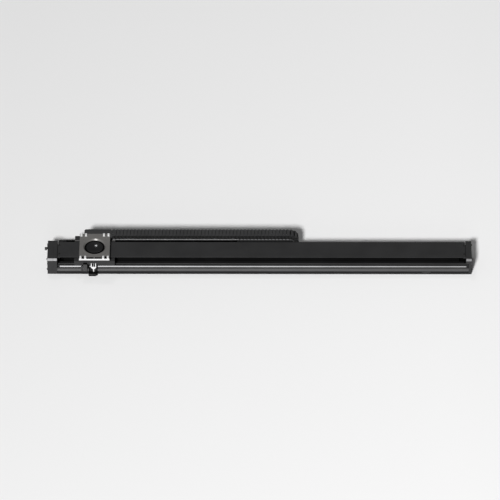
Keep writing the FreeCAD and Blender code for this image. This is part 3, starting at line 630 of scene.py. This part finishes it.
def chain():
    """The chain's links: an upper run that rides on the carriage, the bend, and a lower run laid in place.
    """
    run = BEND_X - MOVING_PIN_X
    pitch = run / UPPER_LINKS
    upper = links("upper_links", "chain_upper_run", pitch, [
        (MOVING_PIN_X + i * pitch, UPPER_PIN_Z, 0.0) for i in range(UPPER_LINKS)
    ])
    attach(upper, "carriage")
    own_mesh(upper)
    middle_z = UPPER_PIN_Z - PIN_RADIUS
    step = math.pi / BEND_LINKS
    bend = links("bend_links", "chain_bend", 2 * PIN_RADIUS * math.sin(step / 2), [
        (BEND_X + PIN_RADIUS * math.sin(i * step), middle_z + PIN_RADIUS * math.cos(i * step),
         (i + 0.5) * step)
        for i in range(BEND_LINKS)
    ])
    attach(bend, "chain_bend_body")
    pitch = (BEND_X - FIXED_PIN_X) / LOWER_LINKS
    lower = links("lower_links", "chain_lower_run", pitch, [
        (BEND_X - i * pitch, UPPER_PIN_Z - 2 * PIN_RADIUS, math.pi) for i in range(LOWER_LINKS)
    ])
    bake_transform(lower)


def from_bore(face):
    """Vector from the axis of the plate's bore to a face's middle."""
    return face.center - Vector((CARRIAGE_X * MM, 0, face.center.z))


def dish_finish(face):
    """Polished bowl, and a ring round it painted near-black as shade."""
    return 1 if from_bore(face).length > (BOWL_RADIUS + BOWL_MARGIN) * MM else 0


def bore_dish():
    """Dished cap: a polished bowl in a ring painted near-black as shade."""
    rim = PLATE_TOP - BORE_CHAMFER
    depth = BOWL_RADIUS ** 2 / (2 * BOWL_CURVE)
    radii = [BOWL_START] + [BOWL_RADIUS * i / BOWL_STEPS for i in range(1, BOWL_STEPS + 1)]
    profile = [(r, rim - depth + r * r / (2 * BOWL_CURVE)) for r in radii]
    profile += [(BOWL_RADIUS + out, rim - drop) for out, drop in BOWL_LIP]
    profile += [(DISH_RADIUS - back, rim - drop) for back, drop in DISH_LIP]
    profile += [(DISH_RADIUS, DISH_BOTTOM)]
    work = bmesh.new()
    rings(work, [circle(r, z, DISH_STEPS) for r, z in profile])
    move = Matrix.Translation((CARRIAGE_X * MM, 0, 0)) @ Matrix.Scale(MM, 4)
    bmesh.ops.transform(work, matrix=move, verts=work.verts)
    mesh = to_mesh(work, "polished_dish")
    piece = piece_from("polished_dish", mesh, "bore_dish", ["gloss_black", "painted_shade_black"])
    paint(mesh, dish_finish)
    smooth_by_angle(mesh)
    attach(piece, "carriage")


def guard():
    """Guard of the flag: a foot with a rounded corner, and a back and arms painted as shade."""
    work = bmesh.new()
    low, high = GUARD_FOOT_LEVELS
    slab(work, [(x, y, low) for x, y in GUARD_FOOT], (0, 0, high - low), GUARD_EDGE)
    foot_faces = len(work.faces)
    for box in GUARD_BLOCKS:
        block(work, *box)
    bmesh.ops.transform(work, matrix=Matrix.Scale(MM, 4), verts=work.verts)
    mesh = to_mesh(work, "guard")
    piece = piece_from("guard", mesh, "flag_holder", ["black_plastic", "painted_shade_black"])
    # Painted shade: all blocks but the foot, thin ones behind the flag's gaps too, take the near-black
    # shade finish
    paint(mesh, lambda face: 0 if face.index < foot_faces else 1)
    smooth_by_angle(mesh)
    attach(piece, "carriage")


def add_block(work, box, edge=0.0):
    """Adds a block given in millimetres to a shape in metres."""
    inner = bmesh.new()
    block(inner, *box, edge)
    bmesh.ops.transform(inner, matrix=Matrix.Scale(MM, 4), verts=inner.verts)
    added = to_mesh(inner, "added")
    work.from_mesh(added)
    bpy.data.meshes.remove(added)


def land(work):
    """Adds the raised strip along the inner edge of the front wall."""
    add_block(work, LAND)


def tray_end(work):
    """Adds the stop at the tray's left end."""
    add_block(work, TRAY_END, TRAY_END_EDGE)


def fork_lid(work):
    """Adds the lid between the moving end's shell and the first link."""
    add_block(work, FORK_LID)


def thin_flag(work):
    """Draws the flag's outline in, and leaves its screw holes as they are."""
    work.normal_update()
    screw_places = [sum(group, Vector()) / len(group) for group in islands("flag_screws")]
    moves = []
    for vertex in work.verts:
        if any((vertex.co - place).xz.length < FLAG_HOLE * MM for place in screw_places):
            continue
        sides = [face.normal for face in vertex.link_faces if abs(face.normal.y) < SLANT]
        first, second = sides[0], sides[-1]
        # Both sides that meet here go in by the same distance
        moves.append((vertex, -FLAG_THIN * MM * (first + second) / (1 + first.dot(second))))
    for vertex, move in moves:
        vertex.co += move


def thin_edges(work):
    """Draws the cover's long edges in below and leaves only a fine chamfer above."""
    for vertex in work.verts:
        side = math.copysign(MM, vertex.co.y)
        half = COVER_FRONT if side < 0 else COVER_REAR
        beyond = abs(vertex.co.y)
        if vertex.co.z < COVER_FOOT_BELOW * MM and beyond > COVER_SIDE_BEYOND * MM:
            vertex.co.y = side * COVER_FOOT
        elif beyond > COVER_EDGE_BEYOND * MM and vertex.co.z > COVER_TOP_ABOVE * MM:
            vertex.co.y = side * (half - COVER_CHAMFER)
        elif beyond > COVER_SIDE_BEYOND * MM:
            vertex.co.y = side * half
            vertex.co.z = (COVER_TOP - COVER_CHAMFER) * MM


def tape_levels(work):
    """Cuts the scale's bar at the upper and lower edge of its tape."""
    for level in (TAPE_LOW, TAPE_HIGH):
        bmesh.ops.bisect_plane(work, geom=work.verts[:] + work.edges[:] + work.faces[:], dist=CUT,
                               plane_co=(0, 0, level * MM), plane_no=(0, 0, 1))


def tape_finish(face):
    """Bright tape between its edges; above and below, the bar is painted as shade."""
    return 1 if TAPE_LOW * MM < face.center.z < TAPE_HIGH * MM else 0


def head_finish(face):
    """Painted shade: the reading head's top faces take the near-black shade finish."""
    return 1 if face.normal.z > FLAT and face.center.z > HEAD_LID_ABOVE * MM else 0


def slant_finish(face):
    """Painted highlight: slanted front edges take a lighter finish."""
    return 1 if face.normal.y < -SLANT and face.normal.z > SLANT else 0


def tray_finish(face):
    """Painted shade on the inner side and top of the tray's lip."""
    lip = face.center.y > TRAY_LIP_Y * MM and face.center.x > TRAY_LIP_X * MM
    return 1 if lip and (face.normal.y < -SLANT or face.normal.z > SLANT) else 0


def profile_finish(face):
    """Painted shade inside the body, a land painted as a lit line, a front finish tuned to its light."""
    middle, normal = face.center, face.normal
    # Painted light: the land's top takes the lighter, glossier head finish, drawn as a lit line
    if abs(middle.y - LAND_MIDDLE_Y * MM) < LAND_REACH * MM and middle.z > LAND_ABOVE * MM:
        return 2
    # Painted light: front faces take their own darker, glossier copy of the black finish, set for how light
    # falls there
    if middle.y < FRONT_Y * MM and normal.y < -LEAN and middle.z > FRONT_ABOVE * MM:
        return 3
    # Painted shade: faces inside the body take the near-black shade finish
    inside = abs(middle.y) < INSIDE_Y * MM and normal.z > -FLAT and middle.z > INSIDE_ABOVE * MM
    return 1 if inside and abs(normal.x) < SLANT else 0


def connector_finish(face):
    """Bright front of the connector, a dark upper side."""
    return 1 if face.normal.z > CONNECTOR_TOP else 0


def plate_finish(face):
    """Bare metal on the plate's outer edges and bore, pockets painted as shade, the grey finish elsewhere.
    """
    middle = face.center
    if (POCKET_Y[0] * MM < middle.y < POCKET_Y[1] * MM
            and POCKET_Z[0] * MM < middle.z < POCKET_Z[1] * MM):
        return 2
    if abs(face.normal.z) > FLAT:
        return 0
    across = from_bore(face)
    if abs(across.x) > PLATE_SIDE_X * MM or abs(across.y) > PLATE_SIDE_Y * MM:
        return 1
    in_bore = BORE_BAND[0] * MM < across.length < BORE_BAND[1] * MM
    return 3 if in_bore and face.normal.z > LEAN else 0


# Painted highlight: the end blocks' slanted front edges take the lighter edge finish
END_BLOCK = dict(finishes=("black_anodised", "end_edge_highlight"), choose=slant_finish)
# Pieces that keep a solid's shape: width of their rounded edges, finishes and what is changed
DRESSED = {
    "carriage_table": dict(bevel=1.6),
    "front_leg": dict(bevel=0.4),
    "rear_leg": dict(bevel=0.4),
    "locating_keys": dict(bevel=0.3),
    "limit_switches": dict(bevel=0.4),
    "chain_fixed_end": dict(bevel=0.5),
    "tray_nuts": dict(bevel=0.3),
    "connector_insert": dict(bevel=0.3),
    "top_plate": dict(bevel=0.4, finishes=("grey_anodised", "bare_edge", "painted_shade_black", "bore_edge"),
                      choose=plate_finish),
    "base_profile": dict(bevel=0.4, limit=20.0, choose=profile_finish, shape=land,
                         finishes=("black_anodised", "painted_shade_black", "head_anodised", "front_black_lit_copy")),
    "chain_tray": dict(bevel=0.4, finishes=("black_sheet", "painted_shade_black"), choose=tray_finish,
                       shape=tray_end),
    "chain_moving_end": dict(bevel=0.8, shape=fork_lid),
    "connector_body": dict(bevel=0.4, finishes=("bare_edge", "black_plastic"), choose=connector_finish),
    "read_head": dict(bevel=0.6, finishes=("head_anodised", "painted_shade_black"), choose=head_finish),
    # Painted highlight: the bracket's slanted front edge takes the grey finish
    "chain_bracket": dict(bevel=0.3, finishes=("black_sheet", "grey_anodised"), choose=slant_finish),
    "top_cover": dict(bevel=0.1, shape=thin_edges),
    "switch_flag": dict(bevel=0.2, shape=thin_flag),
    "encoder_scale": dict(bevel=0.1, finishes=("painted_shade_black", "scale_tape"), choose=tape_finish,
                          shape=tape_levels),
    "left_end_plate": dict(bevel=0.5, **END_BLOCK),
    "right_end_plate": dict(bevel=0.5, **END_BLOCK),
    "connection_housing": dict(bevel=0.8, **END_BLOCK),
    "right_end_cap": dict(bevel=0.8, **END_BLOCK),
}
DRAWN = {"flag_holder", "bore_dish", "chain_upper_run", "chain_bend", "chain_lower_run"}


def shift_flag():
    """Moves the flag and its screws a little along the body."""
    for name in ("dressed_switch_flag", "detailed_flag_screws"):
        bpy.data.objects[name].data.transform(Matrix.Translation((FLAG_SHIFT * MM, 0, 0)))


def finish_solids():
    """Gives the solids that aren't replaced the finish of their slot."""
    for name, solid in frame["nodes"].items():
        if name not in DRESSED and name not in SCREWS and name not in DRAWN:
            solid.data.materials.clear()
            solid.data.materials.append(MATERIALS[SLOT_OF[name]])


def floor():
    """Pale studio floor, painted a little darker to the left as shade."""
    work = bmesh.new()
    bmesh.ops.create_grid(work, x_segments=2, y_segments=2, size=FLOOR_SIZE)
    mesh = bpy.data.meshes.new("floor")
    work.to_mesh(mesh)
    work.free()
    n = Nodes("studio_floor")
    split = n.new("ShaderNodeSeparateXYZ")
    n.link(n.place((1.0, 1.0, 1.0)), split.inputs["Vector"])
    across = n.span(split.outputs["X"], 0.0, 1.0, *FLOOR_SPAN)
    n.drive(Base_Color=n.ramp(across, (FLOOR_LEFT,) * 3, (FLOOR_RIGHT,) * 3, 0.0, 1.0))
    n.set(Roughness=FLOOR_ROUGHNESS, Specular_IOR_Level=FLOOR_SPECULAR)
    mesh.materials.append(n.material)
    add(bpy.data.objects.new("floor", mesh))


def lamp(name, azimuth, elevation, distance, width, power):
    """Round light that points at the middle of the part."""
    data = bpy.data.lights.new(name, "AREA")
    data.shape = "DISK"
    data.size = width
    data.energy = power
    aim(add(bpy.data.objects.new(name, data)), direction(azimuth, elevation) * distance, Vector((0, 0, 0)))


def lights():
    """The lamps and the world's level."""
    for name, values in LAMPS.items():
        lamp(name, **values)
    world = bpy.data.worlds.new("studio")
    bpy.context.scene.world = world
    world.use_nodes = True
    world.node_tree.nodes["Background"].inputs["Color"].default_value = (1.0, 1.0, 1.0, 1.0)
    world.node_tree.nodes["Background"].inputs["Strength"].default_value = WORLD_LEVEL


def camera():
    """Long lens at the photograph's angle."""
    data = bpy.data.cameras.new("view")
    data.sensor_fit = "HORIZONTAL"
    data.angle = 2 * math.atan(VIEW_WIDTH / 2 / VIEW_DISTANCE)
    data.clip_end = VIEW_CLIP
    obj = add(bpy.data.objects.new("view", data))
    aim(obj, TARGET + direction(0, VIEW_ELEVATION) * VIEW_DISTANCE, TARGET, VIEW_ROLL)
    bpy.context.scene.camera = obj


for node_name, how in DRESSED.items():
    dress(node_name, **how)
for node_name in SCREWS:
    screws(node_name)
shift_flag()
guard()
chain()
bore_dish()
finish_solids()
floor()
lights()
camera()
bpy.context.scene.view_settings.view_transform = "Standard"
bpy.context.view_layer.update()
